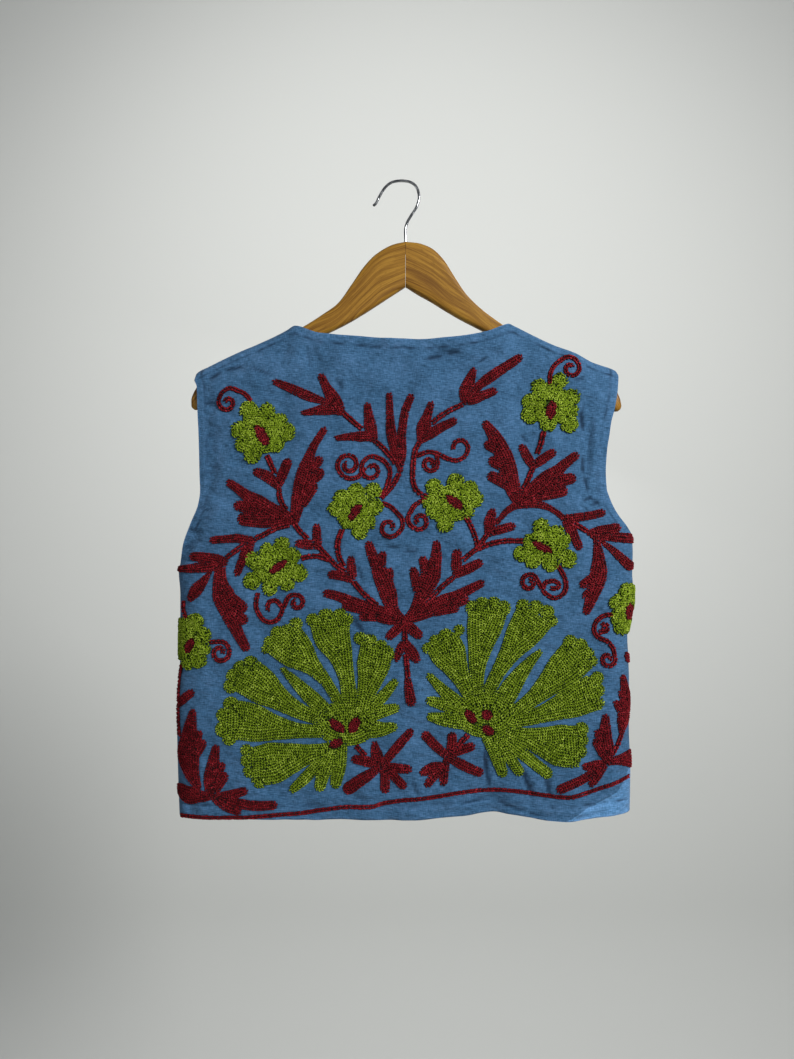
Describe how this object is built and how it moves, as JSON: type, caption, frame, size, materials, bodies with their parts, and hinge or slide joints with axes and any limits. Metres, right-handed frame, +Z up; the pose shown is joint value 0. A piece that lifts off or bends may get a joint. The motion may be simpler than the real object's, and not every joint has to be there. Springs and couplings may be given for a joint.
{
  "type": "embroidered waistcoat on a hanger",
  "caption": "Sleeveless embroidered cotton waistcoat hung on a flat wooden hanger with a wire hook, back to the viewer.",
  "frame": {"origin": "inside top of the hook's bend, where the hanger hangs", "axes": "+Z up, +X to the right of someone facing the waistcoat's back, -Y the way the back faces"},
  "size_m": [0.47, 0.0481, 0.6579],
  "materials": {
    "cloth_blue": "plain woven cotton, mid blue, matt",
    "wood_lacquered": "golden brown lacquered beech, semi gloss",
    "hook_chrome": "plated steel wire, bright"
  },
  "bodies": {
    "root": {"back_panel": "cloth_blue", "front_panel_left": "cloth_blue", "front_panel_right": "cloth_blue", "hanger_arm_left": "wood_lacquered", "hanger_arm_right": "wood_lacquered", "hanger_hook": "hook_chrome"}
  },
  "joints": []
}
